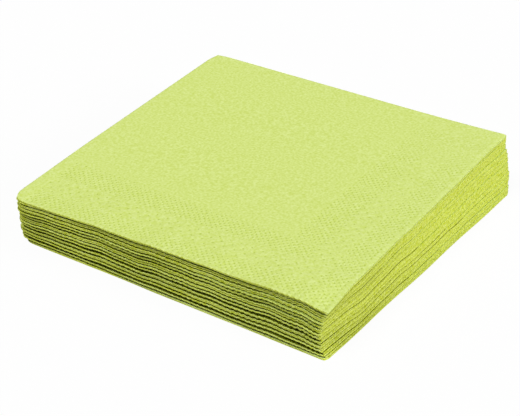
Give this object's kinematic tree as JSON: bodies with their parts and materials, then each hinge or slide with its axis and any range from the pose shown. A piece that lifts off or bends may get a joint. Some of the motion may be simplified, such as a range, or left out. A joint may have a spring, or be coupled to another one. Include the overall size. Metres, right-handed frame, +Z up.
{
  "type": "stack of paper napkins",
  "caption": "Square pile of lime green tissue napkins, each one sheet folded in half twice, with an embossed dotted border along the cut edges.",
  "frame": {"origin": "middle of the pile's footprint, on the surface it lies on", "axes": "+Z up through the pile, +X towards the cut edges at the right, +Y towards the first folds at the back"},
  "size_m": [0.1694, 0.1712, 0.0305],
  "materials": {
    "napkin_paper": "soft matt tissue"
  },
  "bodies": {
    "root": {"napkin_01": "napkin_paper", "napkin_02": "napkin_paper", "napkin_03": "napkin_paper", "napkin_04": "napkin_paper", "napkin_05": "napkin_paper", "napkin_06": "napkin_paper", "napkin_07": "napkin_paper", "napkin_08": "napkin_paper", "napkin_09": "napkin_paper", "napkin_10": "napkin_paper", "napkin_11": "napkin_paper", "napkin_12": "napkin_paper", "napkin_13": "napkin_paper"}
  },
  "joints": []
}
